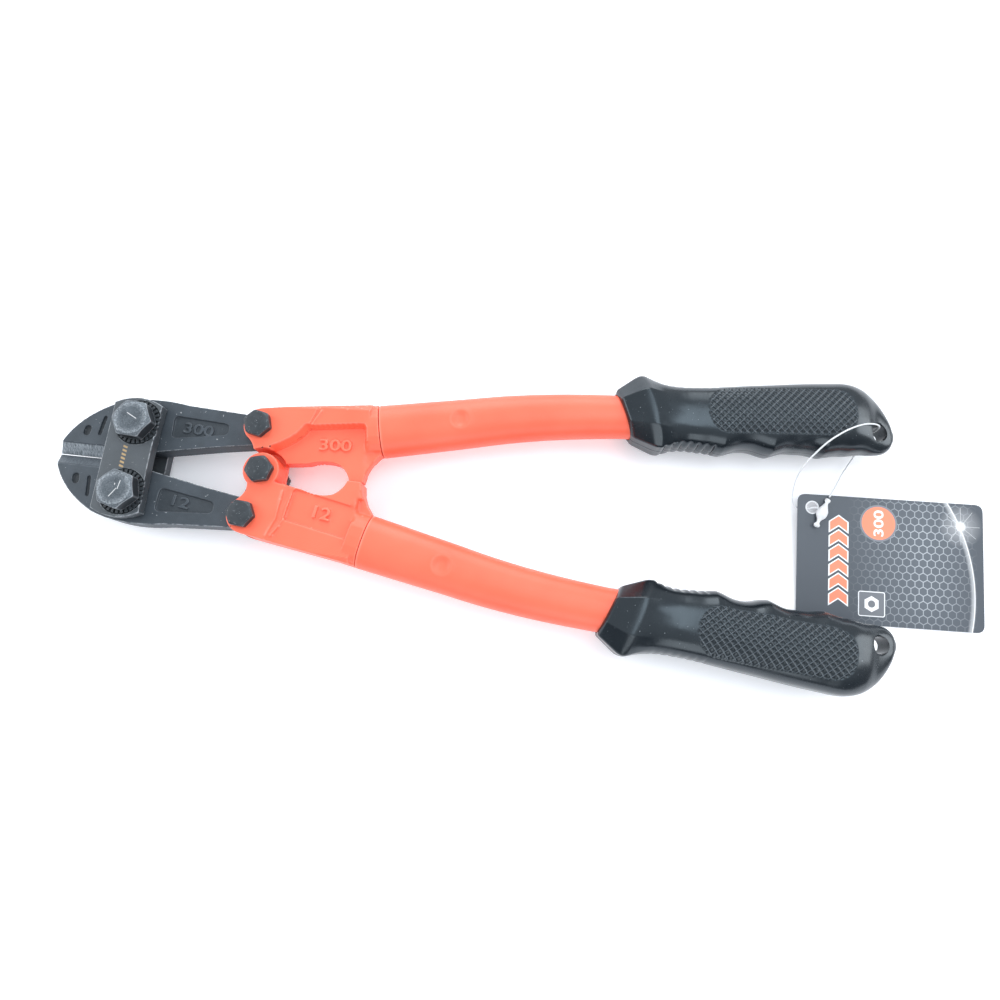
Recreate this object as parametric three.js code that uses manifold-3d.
// Bolt cutters of the 12 inch (300 mm) size, closed. Millimetres, +Z up.
//
// Everything is drawn in the tool frame: X runs along the tool towards the handles, the centre bolt
// stands on X = Y = 0, and Z = 0 is the mid-plane of the jaws. The exported group then moves the tool
// so that its origin lies under the middle of its bounding box, on the surface that it rests on.
// The lower half is the upper half turned half a turn about X, but for the depth of its casting's web.

import * as THREE from 'three';
import { mergeVertices } from 'three/addons/utils/BufferGeometryUtils.js';
import Module from 'manifold-3d';

const wasm = await Module();
wasm.setup();

// ---- Driving dimensions ----------------------------------------------------------------------

const GAP = 0.3; // running and seating gap between neighbouring pieces
const PAST = 1; // how far a cutting solid runs past the face that it cuts
const REST = 11.5; // mid-plane above the surface that the tool lies on
const TIP_X = -79.2; // jaw tips
const END_X = 225.8; // grip ends, so that the tool is 305 mm long

const ADJUSTER = { x: -48.2, y: 13 }; // jaw pivots: the big adjuster bolts
const LINK = { x: -3.6, y: 16.7 }; // jaw to handle pivots
const HANG_HOLE = { x: 219.8, y: 37.6, radius: 3.3 };

const JAW_HALF = 4; // half thickness of a jaw
const PLATE = { left: -58.4, right: -40.5, corner: 20, crown: 2.4, waist: 0.6, thick: 3.9 };
const PLATE_LOW = JAW_HALF + GAP; // inner face of a strap plate
const PLATE_HIGH = PLATE_LOW + PLATE.thick;

const BIG = { flats: 12.8, head: 4.8, shank: 3.9 }; // its nut fills the room down to the surface
const SMALL = { flats: 8.9, head: 3.2, shank: 3, nut: 2.9 };
const TOOTHED = { inner: 4.4, root: 6.5, outer: 8.1, thick: 0.9, teeth: 28, slot: 0.7, sink: 0.8 };

const CAST_HALF = 8; // half thickness of a handle casting at its ears
const CAST = { ear: 6.6, shift: 0.8, eye: 6.6, slot: 7.4, clear: 8.4, neck: 3.5 }; // in plan, but for neck
const FACE = { band: 7.3, outer: 4, panel: 1 }; // heights off mid-plane, and depth of the inner panel
const WEB = { upper: 1.5, lower: 6.2 }; // how far each casting's inner face lies from mid-plane
const OPEN_PIVOT_PLAY = 1.75; // how far the centre bolt drifts in the upper casting in mid-travel

const TUBE_WALL = 1.5;
const TANG_LENGTH = 24; // of the casting's tang inside the tube
const TANG_PLAY = 0.3;

const THREAD = 0.3; // radius of the tag's nylon loop
const TAG = { width: 67, height: 46.5, thick: 0.4, corner: 3, lift: 4.2, turn: 2.1 };

// ---- Materials -------------------------------------------------------------------------------

const paint = (color, roughness, metalness) =>
  new THREE.MeshStandardMaterial({ color, roughness, metalness });

const phosphate = paint(0x41484e, 0.55, 0.6);
const wornSteel = paint(0x59626a, 0.45, 0.8);
const blackBolt = paint(0x353c42, 0.5, 0.6);
const orangePaint = paint(0xf9573a, 0.45, 0);
const blackVinyl = paint(0x15191c, 0.3, 0);
const card = paint(0x4a4f57, 0.4, 0);
const nylon = paint(0xf4f6f8, 0.4, 0);

// ---- Solids ----------------------------------------------------------------------------------

/** A closed geometry as a solid. Triangles that collapse when vertices merge are dropped. */
function solid(geometry) {
  const bare = geometry.clone();
  bare.deleteAttribute('normal');
  bare.deleteAttribute('uv');
  const merged = mergeVertices(bare, 1e-4);
  const triangles = [];
  for (let i = 0; i < merged.index.count; i += 3) {
    const [a, b, c] = [0, 1, 2].map((k) => merged.index.getX(i + k));
    if (a !== b && b !== c && c !== a) triangles.push(a, b, c);
  }
  return new wasm.Manifold(
    new wasm.Mesh({
      numProp: 3,
      vertProperties: new Float32Array(merged.attributes.position.array),
      triVerts: new Uint32Array(triangles),
    }),
  );
}

/** A named mesh of a solid. */
function piece(name, body, material) {
  const { vertProperties, triVerts } = body.getMesh();
  const geometry = new THREE.BufferGeometry();
  geometry.setAttribute('position', new THREE.BufferAttribute(vertProperties, 3));
  geometry.setIndex(new THREE.BufferAttribute(triVerts, 1));
  geometry.computeVertexNormals();
  const mesh = new THREE.Mesh(geometry, material);
  mesh.name = name;
  return mesh;
}

/** A flat outline raised from z = low to z = high. */
function slab(shape, low, high, curveSegments = 10) {
  const geometry = new THREE.ExtrudeGeometry(shape, {
    depth: high - low,
    bevelEnabled: false,
    curveSegments,
  });
  return solid(geometry.translate(0, 0, low));
}

/** A round bar along Z. */
function drum(radius, low, high, { x = 0, y = 0 } = {}, sides = 24) {
  const geometry = new THREE.CylinderGeometry(radius, radius, high - low, sides);
  return solid(geometry.rotateX(Math.PI / 2).translate(x, y, (low + high) / 2));
}

/** A rectangular block between two corners. */
function block(x0, y0, z0, x1, y1, z1) {
  const geometry = new THREE.BoxGeometry(x1 - x0, y1 - y0, z1 - z0);
  return solid(geometry.translate((x0 + x1) / 2, (y0 + y1) / 2, (z0 + z1) / 2));
}

/** A closed polygon through points, each [x, y]. */
const polygon = (points) => new THREE.Shape(points.map(([x, y]) => new THREE.Vector2(x, y)));

/** A polygon whose corners are rounded by quadratic curves that start `radius` before each corner. */
function rounded(points, radius) {
  const shape = new THREE.Shape();
  const at = (i) => new THREE.Vector2(...points[(i + points.length) % points.length]);
  points.forEach((_, i) => {
    const corner = at(i);
    const before = corner.clone().add(at(i - 1).sub(corner).setLength(radius));
    const after = corner.clone().add(at(i + 1).sub(corner).setLength(radius));
    if (i === 0) shape.moveTo(before.x, before.y);
    else shape.lineTo(before.x, before.y);
    shape.quadraticCurveTo(corner.x, corner.y, after.x, after.y);
  });
  shape.closePath();
  return shape;
}

const HEX_FACE = 0.47; // radius of a hexagon's flat end face, as a share of its size across flats
const CONE = 8; // height of the cone that chamfers a hexagon, more than any hexagon is thick

/** A hexagon bar along Z whose far end, the one away from `low`, is chamfered at 30 degrees. */
function hexagon(flats, low, high, turn, { x, y }) {
  const corner = flats / Math.sqrt(3);
  const up = Math.sign(high - low);
  const bar = new THREE.CylinderGeometry(corner, corner, Math.abs(high - low), 6);
  bar.rotateX(Math.PI / 2).rotateZ(turn).translate(x, y, (low + high) / 2);
  const face = flats * HEX_FACE;
  const cone = new THREE.CylinderGeometry(face, face + CONE * Math.sqrt(3), CONE, 30);
  cone.rotateX((Math.PI / 2) * up).translate(x, y, high - (CONE / 2) * up);
  return solid(bar).intersect(solid(cone));
}

/** A capped cylinder whose rings are carried to the sections that `place(t, angle)` describes. */
function loft(place, steps, sides) {
  const geometry = new THREE.CylinderGeometry(1, 1, 1, sides, steps);
  const spot = geometry.attributes.position;
  for (let i = 0; i < spot.count; i++) {
    const t = 0.5 - spot.getY(i);
    const reach = Math.hypot(spot.getX(i), spot.getZ(i));
    const { centre, rim } = place(t, Math.atan2(spot.getZ(i), spot.getX(i)));
    const point = centre.clone().lerp(rim, Math.min(1, reach));
    spot.setXYZ(i, point.x, point.y, point.z);
  }
  return solid(geometry);
}

/** A point of an oval whose squareness is 2 for an ellipse and more for a boxier one. */
function oval(angle, squareness) {
  const [c, s] = [Math.cos(angle), Math.sin(angle)];
  const power = 2 / squareness;
  return [Math.sign(c) * Math.abs(c) ** power, Math.sign(s) * Math.abs(s) ** power];
}

const turnedOver = (body) => body.rotate([180, 0, 0]);
const mirrored = ({ x, y }) => ({ x, y: -y });

// ---- Head: strap plates, adjuster bolts, toothed washers and nuts ----------------------------

/** One strap plate: straight left edge, waisted right edge and crowned ends, with two bolt holes. */
function strapPlate(low, high) {
  const { left, right, corner, crown, waist } = PLATE;
  const middle = (left + right) / 2;
  const outline = new THREE.Shape();
  outline.moveTo(left, -corner);
  outline.quadraticCurveTo(middle, -corner - 2 * crown, right, -corner);
  outline.quadraticCurveTo(right - 2 * waist, 0, right, corner);
  outline.quadraticCurveTo(middle, corner + 2 * crown, left, corner);
  outline.closePath();
  let plate = slab(outline, low, high, 14);
  for (const centre of [ADJUSTER, mirrored(ADJUSTER)]) {
    plate = plate.subtract(drum(BIG.shank + GAP, low - PAST, high + PAST, centre));
  }
  return plate;
}

const RECESS_FLOOR = PLATE_HIGH - TOOTHED.sink;
const WASHER_LOW = RECESS_FLOOR + GAP / 2;
const WASHER_TOP = WASHER_LOW + TOOTHED.thick;

/** The round recesses in the top plate that the toothed washers lie in. */
function recesses() {
  const sinks = [ADJUSTER, mirrored(ADJUSTER)].map((centre) =>
    drum(TOOTHED.outer + GAP, RECESS_FLOOR, PLATE_HIGH + PAST, centre, 48),
  );
  return sinks[0].add(sinks[1]);
}

/** A washer with radial slots all round its rim. */
function toothedWasher(centre) {
  const { inner, root, outer, teeth, slot } = TOOTHED;
  const [low, high] = [WASHER_LOW - PAST, WASHER_TOP + PAST];
  let washer = drum(outer, WASHER_LOW, WASHER_TOP, {}, teeth * 2).subtract(drum(inner, low, high));
  for (let i = 0; i < teeth; i++) {
    const cut = block(root, -slot / 2, low, outer + PAST, slot / 2, high);
    washer = washer.subtract(cut.rotate([0, 0, (360 * (i + 0.5)) / teeth]));
  }
  return washer.translate([centre.x, centre.y, 0]);
}

/** A big bolt with its head on the toothed washer and its shank down through both plates. */
function adjusterBolt(centre, turn) {
  const under = WASHER_TOP + GAP / 2;
  const head = hexagon(BIG.flats, under, under + BIG.head, turn, centre);
  return head.add(drum(BIG.shank, -REST, under + PAST, centre));
}

/** A nut on the shank's lower end. */
function nut(size, top, bottom, turn, centre) {
  return hexagon(size.flats, top, bottom, turn, centre).subtract(
    drum(size.shank + GAP, bottom - PAST, top + PAST, centre),
  );
}

// ---- Jaws ------------------------------------------------------------------------------------

const EDGE_GAP = GAP / 2; // each cutting edge stands this far from the parting line
const BEVEL = { width: 4.3, end: -55.5, land: 0.25 }; // of the blade, on both faces
const ARM_END = { x: -4.2, y: 15.4, radius: 5.6 };
const POCKET_DEPTH = 0.8; // of the pocket, the slot and the oval in each face

/** The upper jaw in plan: blade, boss under the strap plates, and the arm to the link bolt. */
function jawOutline() {
  const shape = new THREE.Shape();
  shape.moveTo(TIP_X, EDGE_GAP);
  shape.lineTo(-56, EDGE_GAP);
  shape.lineTo(-50, 3);
  shape.lineTo(-41, 3.7);
  shape.lineTo(-20, 7.7);
  shape.lineTo(-5.6, 10);
  shape.absarc(ARM_END.x, ARM_END.y, ARM_END.radius, -Math.PI / 2 - 0.2, Math.PI / 2 - 0.1, false);
  shape.lineTo(-33, 22.6);
  shape.quadraticCurveTo(-48.5, 25.3, -60.8, 20.5);
  shape.quadraticCurveTo(-73.5, 14, -77.5, 3.9);
  shape.closePath();
  return shape;
}

/** The rounded pocket in the arm's face. */
const jawPocket = () => rounded([[-37.5, 18.2], [-37, 9.4], [-16.2, 12.8], [-16.2, 16.9]], 1.9);

/** A vertical slot or short oval through the given end centres. */
function slotShape(x0, y0, x1, y1, radius) {
  const along = Math.atan2(y1 - y0, x1 - x0);
  const shape = new THREE.Shape();
  shape.absarc(x1, y1, radius, along - Math.PI / 2, along + Math.PI / 2, false);
  shape.absarc(x0, y0, radius, along + Math.PI / 2, along + (3 * Math.PI) / 2, false);
  shape.closePath();
  return shape;
}

/** The wedge that leaves the blade's bevel on one face: side is 1 for the top and -1 for the bottom. */
function bevelWedge(side) {
  const slope = JAW_HALF / BEVEL.width;
  const section = polygon([
    [EDGE_GAP - PAST, (BEVEL.land - slope * PAST) * side],
    [BEVEL.width + PAST, (JAW_HALF + slope * PAST) * side],
    [EDGE_GAP - PAST, (JAW_HALF + PAST) * side],
  ]);
  const depth = BEVEL.end - TIP_X + 2 * PAST;
  const wedge = new THREE.ExtrudeGeometry(section, { depth, bevelEnabled: false });
  // The section is drawn in the Y-Z plane and runs along X.
  return solid(wedge.rotateX(Math.PI / 2).rotateZ(Math.PI / 2).translate(TIP_X - 2 * PAST, 0, 0));
}

function upperJaw() {
  let jaw = slab(jawOutline(), -JAW_HALF, JAW_HALF, 12);
  const [floor, sky] = [JAW_HALF - POCKET_DEPTH, JAW_HALF + PAST];
  for (const side of [1, -1]) {
    jaw = jaw.subtract(bevelWedge(side));
    const [low, high] = side > 0 ? [floor, sky] : [-sky, -floor];
    jaw = jaw.subtract(slab(jawPocket(), low, high, 3));
    jaw = jaw.subtract(slab(slotShape(-64.1, 8.4, -63.3, 14.8, 0.65), low, high, 4));
    jaw = jaw.subtract(slab(slotShape(-69.1, 8.5, -68.9, 9.9, 1.25), low, high, 5));
  }
  jaw = jaw.subtract(drum(BIG.shank + GAP, -sky, sky, ADJUSTER));
  return jaw.subtract(drum(SMALL.shank + GAP, -sky, sky, LINK));
}

// ---- Handle tubes ----------------------------------------------------------------------------

// The tube's centreline from the casting's shoulder into the grip.
const TUBE_POINTS = [
  [39.6, 20.8], [55, 24], [70, 27.1], [84, 30.1], [98, 32.5],
  [112, 34.3], [127, 35.7], [150, 37.3], [175, 39.4], [198, 41.6],
];
const TUBE_LINE = new THREE.CatmullRomCurve3(TUBE_POINTS.map(([x, y]) => new THREE.Vector3(x, y, 0)));
const TUBE_START = { across: 9.9, thick: 7.5 }; // half sizes at the casting
const TUBE_END = { across: 8, thick: 7 }; // half sizes from the grip's mouth on
const TAPER_END = 0.55; // share of the line at which the taper is finished
const TUBE_SQUARENESS = 2.3;
const TUBE_STEPS = 16;

/** Half sizes of the tube's outside at t, the share of its length. */
function tubeSize(t) {
  const k = Math.min(1, Math.max(0, t) / TAPER_END);
  return {
    across: THREE.MathUtils.lerp(TUBE_START.across, TUBE_END.across, k),
    thick: THREE.MathUtils.lerp(TUBE_START.thick, TUBE_END.thick, k),
  };
}

/** A stretch of the handle's oval section from share t0 to t1 of the line, `shrink` inside it. */
function handleBar(t0, t1, shrink, steps, sides = 20) {
  return loft((k, angle) => {
    const t = THREE.MathUtils.lerp(t0, t1, k);
    const inside = THREE.MathUtils.clamp(t, 0, 1);
    const along = TUBE_LINE.getTangentAt(inside);
    const length = TUBE_LINE.getLength();
    const centre = TUBE_LINE.getPointAt(inside).addScaledVector(along, (t - inside) * length);
    const across = new THREE.Vector3(-along.y, along.x, 0);
    const size = tubeSize(t);
    const [u, v] = oval(angle, TUBE_SQUARENESS);
    const rim = centre.clone().addScaledVector(across, u * (size.across - shrink));
    rim.z = v * (size.thick - shrink);
    return { centre, rim };
  }, steps, sides);
}

const alongTube = (distance) => distance / TUBE_LINE.getLength();
const DIMPLE = { distance: 29.9, ball: 5.5, depth: 0.9 };

/** The oval steel tube, open at both ends, with a crimp dimple in both faces. */
function upperTube() {
  const outside = handleBar(alongTube(GAP), 1, 0, TUBE_STEPS);
  const bore = handleBar(alongTube(-PAST), 1 + alongTube(PAST), TUBE_WALL, TUBE_STEPS);
  let tube = outside.subtract(bore);
  const t = alongTube(DIMPLE.distance);
  const spot = TUBE_LINE.getPointAt(t);
  for (const side of [1, -1]) {
    const ball = new THREE.SphereGeometry(DIMPLE.ball, 16, 10);
    ball.translate(spot.x, spot.y, side * (tubeSize(t).thick - DIMPLE.depth + DIMPLE.ball));
    tube = tube.subtract(solid(ball));
  }
  return tube;
}

// ---- Handle castings -------------------------------------------------------------------------

/** The upper casting in plan, from the link ear round the bumper lobe to the shoulder. */
function castingOutline() {
  const shape = new THREE.Shape();
  const start = Math.PI / 2 + 0.16; // where the ear meets the straight outer edge
  shape.absarc(LINK.x + CAST.shift, LINK.y, CAST.ear, start, (5 * Math.PI) / 4, false);
  shape.quadraticCurveTo(-2.8, 8.6, -4.4, 4.4);
  shape.absarc(0, 0, CAST.eye, (3 * Math.PI) / 4, Math.PI / 5 + Math.PI * 2, false);
  shape.lineTo(15, 5);
  shape.quadraticCurveTo(22, 7.6, 26.8, 5.7);
  shape.quadraticCurveTo(30, 3.8, 31.2, EDGE_GAP);
  shape.lineTo(36.2, EDGE_GAP);
  shape.quadraticCurveTo(36.8, 6.4, 41.2, 11.1);
  shape.lineTo(37.7, 30);
  shape.closePath();
  return shape;
}

/** The raised pad round the link bolt on the outer face, bounded by a curved ridge. */
function platform() {
  const shape = new THREE.Shape();
  shape.moveTo(-20, 40);
  shape.lineTo(-20, 3);
  shape.lineTo(-4, 6.2);
  shape.quadraticCurveTo(6, 8.6, 11.6, 14.4);
  shape.quadraticCurveTo(15.4, 18.6, 17, 27);
  shape.lineTo(17, 40);
  shape.closePath();
  return shape;
}

const SHOULDER = 35.8; // from here on a casting takes on the tube's section
const SHOULDER_LOW = 6.5; // inner edge of the shoulder, beyond the bumper lobe
const COLLAR_LENGTH = 5.5; // of the tube's section on the casting, back from the tube
const BEYOND = { left: -30, right: 60, low: -10, high: 50 }; // a box in plan that holds a casting

/** What the outer face steps down by: all but the pad, and less along the edge and at the shoulder. */
function loweredOuterFace() {
  const { left, right, low, high } = BEYOND;
  const step = block(left, low, FACE.outer, right, high, CAST_HALF + PAST);
  const edge = polygon([
    [8, 16.9], [34.8, 20.6], [37.2, 10.6], [SHOULDER, SHOULDER_LOW], [right, SHOULDER_LOW],
    [right, high], [8, high],
  ]);
  const pad = slab(platform(), FACE.outer - PAST, CAST_HALF + 2 * PAST);
  return step.subtract(pad).subtract(slab(edge, FACE.outer - PAST, FACE.band));
}

/** What the inner face loses: a ramp from the pad round the bolt down to `web`, and a shallow panel. */
function loweredInnerFace(web) {
  const { right, low, high } = BEYOND;
  const ramp = { x: 9.2, y: 7, run: 2.6, lean: 11 }; // its head, where it starts, and its tilt in plan
  const deep = CAST_HALF + PAST;
  const slope = ramp.run / (CAST_HALF - web);
  const section = polygon([[-PAST * slope, -deep], [ramp.run, -web], [right, -web], [right, -deep]]);
  const wedge = new THREE.ExtrudeGeometry(section, { depth: 2 * (high - low), bevelEnabled: false });
  const step = solid(wedge.rotateX(Math.PI / 2).translate(0, high - low, 0));
  const panel = rounded([[12.6, 5], [37.3, 10], [35.7, 21.7], [10.5, 16.7]], 1.2);
  return step
    .rotate([0, 0, ramp.lean])
    .translate([ramp.x, ramp.y, 0])
    .add(slab(panel, -deep, FACE.panel - web, 3));
}

/** The wedge that eases the outer edge of one face, from nothing at the ear to most at the shoulder. */
function edgeWedge(side) {
  const ease = { x0: -4, y0: 23.1, x1: 42, y1: 30.7, across: 4.6, down: 4 };
  const high = CAST_HALF + PAST;
  const corner = (x, y, z) => [x, y, z * side];
  const spread = (ease.across * PAST) / ease.down;
  return wasm.Manifold.hull([
    corner(ease.x0, ease.y0, high),
    corner(ease.x0, ease.y0 + PAST, high),
    corner(ease.x0, ease.y0 + PAST, CAST_HALF),
    corner(ease.x1, ease.y1 - ease.across - spread, high),
    corner(ease.x1, ease.y1 + PAST, high),
    corner(ease.x1, ease.y1 + PAST, CAST_HALF - ease.down - PAST),
  ]);
}

/** The slot that the jaw's arm turns in, and the half of the thickness taken off at the eye. */
function castingClearances() {
  const { left, low, high } = BEYOND;
  const top = CAST_HALF + PAST;
  return drum(CAST.slot, -PLATE_LOW, PLATE_LOW, LINK, 40)
    .add(block(left, 8, -PLATE_LOW, LINK.x, high, PLATE_LOW))
    .add(drum(CAST.clear, -GAP / 2, top, {}, 40))
    .add(block(left, low, -GAP / 2, 4, 4, top));
}

/** One casting. `eyeRadius` is the hole for the centre bolt, and `web` is how deep its inner face lies. */
function upperCasting(eyeRadius, web) {
  const { right, high } = BEYOND;
  const top = CAST_HALF + PAST;
  let casting = slab(castingOutline(), -CAST_HALF, CAST_HALF, 10);
  for (const cut of [loweredOuterFace(), loweredInnerFace(web), edgeWedge(1), edgeWedge(-1)]) {
    casting = casting.subtract(cut);
  }
  casting = casting.subtract(castingClearances());
  casting = casting.subtract(block(SHOULDER, SHOULDER_LOW, CAST.neck, right, high, top));
  casting = casting.subtract(block(SHOULDER, SHOULDER_LOW, -top, right, high, -CAST.neck));
  // A collar of the tube's section makes the shoulder, and the tang goes on inside the tube.
  casting = casting.add(handleBar(alongTube(-COLLAR_LENGTH), 0, 0, 2));
  const tang = [alongTube(-2), alongTube(TANG_LENGTH)];
  casting = casting.add(handleBar(...tang, TUBE_WALL + TANG_PLAY, 6));
  casting = casting.subtract(drum(SMALL.shank + GAP, -top, top, LINK));
  return casting.subtract(drum(eyeRadius, -top, top));
}

/** A small bolt from the head on the top face to its end below the nut. */
function linkBolt(centre, turn) {
  const under = CAST_HALF + GAP / 2;
  const head = hexagon(SMALL.flats, under, under + SMALL.head, turn, centre);
  return head.add(drum(SMALL.shank, -CAST_HALF - SMALL.nut - GAP, under + PAST, centre));
}

const linkNut = (centre, turn) =>
  nut(SMALL, -CAST_HALF - GAP / 2, -CAST_HALF - GAP / 2 - SMALL.nut, turn, centre);

// ---- Grips -----------------------------------------------------------------------------------

// Each station: [outer x, outer y, inner x, inner y, half thickness]. The first three are the faceted
// collar, the inner edge then waves for the fingers, and the last ones close the rounded end.
const COLLAR = [
  [124.3, 44.3, 131.4, 27.2, 8.9],
  [133, 51.2, 141.5, 23.5, REST],
  [139.5, 49.3, 147, 25, 10.3],
];
const HAND = [
  [146, 48.6, 152, 25.7, 9.7],
  [157, 49.4, 158.5, 25.2, 9.8],
  [166, 50.6, 165.5, 25.4, 10.1],
  [173, 51.6, 173, 27.3, 10.4],
  [181, 52.7, 181.2, 26.4, 10.5],
  [190, 54, 190, 28.4, 10.5],
  [200, 55.2, 201, 28.3, 10.5],
  [207.5, 55.8, 209, 29.4, 10.2],
  [213, 54.8, 215, 30.5, 8.2],
  [217.6, 52.2, 219.2, 30.6, 5.8],
  [221.2, 48.6, 222.6, 31.2, 4.3],
  [224, 44.2, 224.8, 32.8, 3.3],
  [END_X, 39.6, END_X, 35, 2.4],
];
const GRIP_SQUARENESS = 2.7;
const STEPS_PER_STATION = 2;
const GRIP_BORE_START = 0.4; // share of the tube's line that lies before the grip's mouth

/** The stations of the grip from mouth to end: the collar as it is, the rest on smooth curves. */
function gripSections() {
  const list = [COLLAR[COLLAR.length - 1], ...HAND];
  const outer = new THREE.CatmullRomCurve3(list.map(([x, y]) => new THREE.Vector3(x, y, 0)));
  const inner = new THREE.CatmullRomCurve3(list.map(([, , x, y, h]) => new THREE.Vector3(x, y, h)));
  const steps = HAND.length * STEPS_PER_STATION;
  const sections = COLLAR.slice(0, -1).map(([x0, y0, x1, y1, h]) => ({
    a: new THREE.Vector3(x0, y0, 0),
    b: new THREE.Vector3(x1, y1, h),
  }));
  for (let i = 0; i <= steps; i++) {
    sections.push({ a: outer.getPoint(i / steps), b: inner.getPoint(i / steps) });
  }
  return sections;
}

/** The moulded grip with its bore for the tube and the hang hole near its inner corner. */
function upperGrip() {
  const sections = gripSections();
  const last = sections.length - 1;
  const body = loft((t, angle) => {
    const { a, b } = sections[Math.round(t * last)];
    const [u, v] = oval(angle, GRIP_SQUARENESS);
    const centre = new THREE.Vector3((a.x + b.x) / 2, (a.y + b.y) / 2, 0);
    const half = new THREE.Vector3((a.x - b.x) / 2, (a.y - b.y) / 2, 0);
    const rim = centre.clone().addScaledVector(half, u);
    rim.z = v * b.z;
    return { centre, rim };
  }, last, 20);
  const bore = handleBar(GRIP_BORE_START, 1 + alongTube(PAST), -GAP, 10);
  return body.subtract(bore).subtract(drum(HANG_HOLE.radius, -REST, REST, HANG_HOLE));
}

// ---- Hang tag --------------------------------------------------------------------------------

const FLOOR = -REST;
const TAG_CORNER = { x: 195.7, y: 15.4 }; // its corner nearest the grips' root
const TAG_EYE = { x: 5.3, y: -4.9, radius: 2.1 }; // its punched hole, from that corner
const TAG_CLEAR = 0.1; // the card's low edge clears the floor by this

/** The printed card, its low edge on the floor and its edge with the eye held up by the loop. */
function hangTag() {
  const { width, height, thick, corner, lift, turn } = TAG;
  const outline = rounded([[0, -height], [width, -height], [width, 0], [0, 0]], corner);
  const eye = new THREE.Path();
  eye.absarc(TAG_EYE.x, TAG_EYE.y, TAG_EYE.radius, 0, Math.PI * 2, true);
  outline.holes.push(eye);
  const tilt = Math.asin(lift / height);
  const flat = slab(outline, 0, thick, 8).translate([0, height, 0]);
  return flat
    .rotate([THREE.MathUtils.radToDeg(tilt), 0, 0])
    .translate([0, -height * Math.cos(tilt), FLOOR + TAG_CLEAR])
    .rotate([0, 0, turn])
    .translate([TAG_CORNER.x, TAG_CORNER.y, 0]);
}

// The nylon loop from the lock under the grip, up through the hang hole, over the grip, down under
// the tag's edge and up through its eye to the lock again.
const LOOP_ROUTE = [
  [206.9, 14.9, -6.1], [208.6, 17.8, -6.7], [210.6, 21, -8.1], [213, 25, -9.7], [215.4, 29, -9.9],
  [217.4, 33, -9], [218.9, 36.4, -7.6], [219.8, 38.9, -5.4], [220, 39.6, -2], [220, 39.6, 2],
  [219.5, 39.7, 5.2], [217.9, 39.7, 7], [215.4, 39.4, 8.3], [211.6, 38.3, 9.8], [207.2, 36.2, 10.9],
  [202.3, 33, 11.6], [198.4, 29.8, 11.6], [194.9, 26, 10.6], [192.4, 22.4, 7.8], [191.6, 19, 3],
  [192.3, 15.4, -2.6], [193.7, 12.5, -6.6], [195.4, 10.7, -8.3], [197.6, 10.1, -8.6],
  [199.6, 10.2, -8.4], [201.1, 10.5, -7.8], [202, 10.6, -6.9], [203, 10.5, -6.3],
];

function tagLoop() {
  const extrudePath = new THREE.CatmullRomCurve3(LOOP_ROUTE.map((p) => new THREE.Vector3(...p)));
  const section = new THREE.Shape();
  section.absarc(0, 0, THREAD, 0, Math.PI * 2, false);
  const options = { steps: 56, curveSegments: 4, bevelEnabled: false, extrudePath };
  return solid(new THREE.ExtrudeGeometry(section, options));
}

const LOCK = { at: [204.4, 8.8, -6.2], turn: -22, flat: 0.62 };
const LOCK_PROFILE = [
  [0, -6.1], [0.9, -5.8], [1.1, -5], [0.6, -4.2], [0.8, -3], [1.8, -1.4],
  [1.9, 0.6], [1, 2.8], [0.6, 4], [1, 4.8], [0.9, 5.6], [0, 5.9],
];

/** The snap lock that closes the loop: a flattened lozenge between two beads. */
function tagLock() {
  const geometry = new THREE.LatheGeometry(LOCK_PROFILE.map(([r, y]) => new THREE.Vector2(r, y)), 14);
  return solid(geometry.scale(1, 1, LOCK.flat)).rotate([0, 0, LOCK.turn]).translate(LOCK.at);
}

// ---- Assembly --------------------------------------------------------------------------------

const degrees = THREE.MathUtils.degToRad;
const HEX_TURN = {
  upperBig: degrees(26.8),
  lowerBig: degrees(14),
  upper: degrees(17.5),
  lower: degrees(25.5),
  centre: degrees(-16.2),
};

const tool = new THREE.Group();

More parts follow.
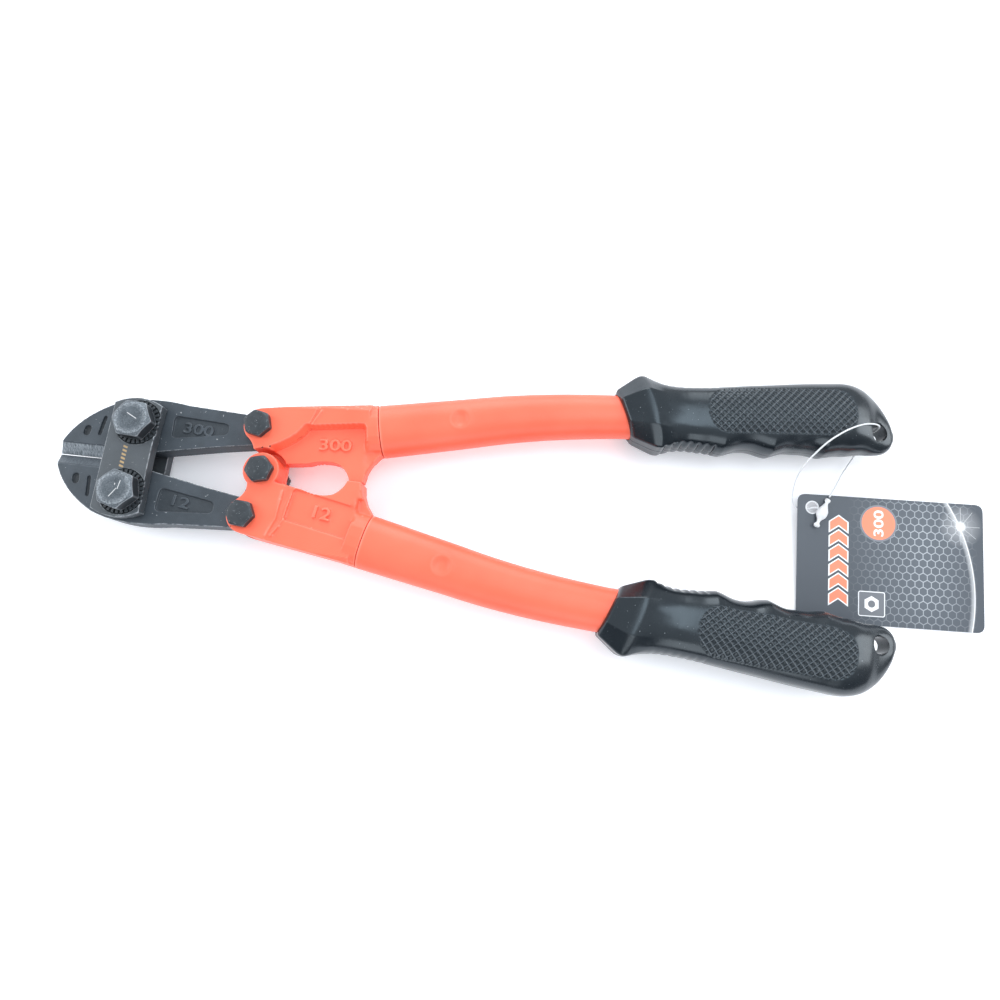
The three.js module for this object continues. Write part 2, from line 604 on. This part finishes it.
const plateTop = strapPlate(PLATE_LOW, PLATE_HIGH).subtract(recesses());
tool.add(piece('strap_plate_top', plateTop, phosphate));
tool.add(piece('strap_plate_bottom', strapPlate(-PLATE_HIGH, -PLATE_LOW), phosphate));

const jaw = upperJaw();
tool.add(piece('upper_jaw', jaw, phosphate));
tool.add(piece('lower_jaw', turnedOver(jaw), phosphate));

for (const [name, centre, turn] of [
  ['upper', ADJUSTER, HEX_TURN.upperBig],
  ['lower', mirrored(ADJUSTER), HEX_TURN.lowerBig],
]) {
  tool.add(piece(`${name}_adjuster_bolt`, adjusterBolt(centre, turn), wornSteel));
  tool.add(piece(`${name}_toothed_washer`, toothedWasher(centre), blackBolt));
  const adjusterNut = nut(BIG, -PLATE_HIGH - GAP / 2, -REST, turn, centre);
  tool.add(piece(`${name}_adjuster_nut`, adjusterNut, blackBolt));
}

for (const [name, centre, turn] of [
  ['upper_link', LINK, HEX_TURN.upper],
  ['lower_link', mirrored(LINK), HEX_TURN.lower],
  ['centre', { x: 0, y: 0 }, HEX_TURN.centre],
]) {
  tool.add(piece(`${name}_bolt`, linkBolt(centre, turn), blackBolt));
  tool.add(piece(`${name}_nut`, linkNut(centre, turn), blackBolt));
}

const snug = SMALL.shank + GAP;
tool.add(piece('upper_casting', upperCasting(snug + OPEN_PIVOT_PLAY, WEB.upper), orangePaint));
tool.add(piece('lower_casting', turnedOver(upperCasting(snug, WEB.lower)), orangePaint));

const tube = upperTube();
tool.add(piece('upper_tube', tube, orangePaint));
tool.add(piece('lower_tube', turnedOver(tube), orangePaint));

const grip = upperGrip();
tool.add(piece('upper_grip', grip, blackVinyl));
tool.add(piece('lower_grip', turnedOver(grip), blackVinyl));

tool.add(piece('hang_tag', hangTag(), card));
tool.add(piece('tag_loop', tagLoop(), nylon));
tool.add(piece('tag_lock', tagLock(), nylon));

tool.position.set(-(TIP_X + END_X) / 2, 0, REST);

const boltCutters = new THREE.Group();
boltCutters.add(tool);

export default boltCutters;
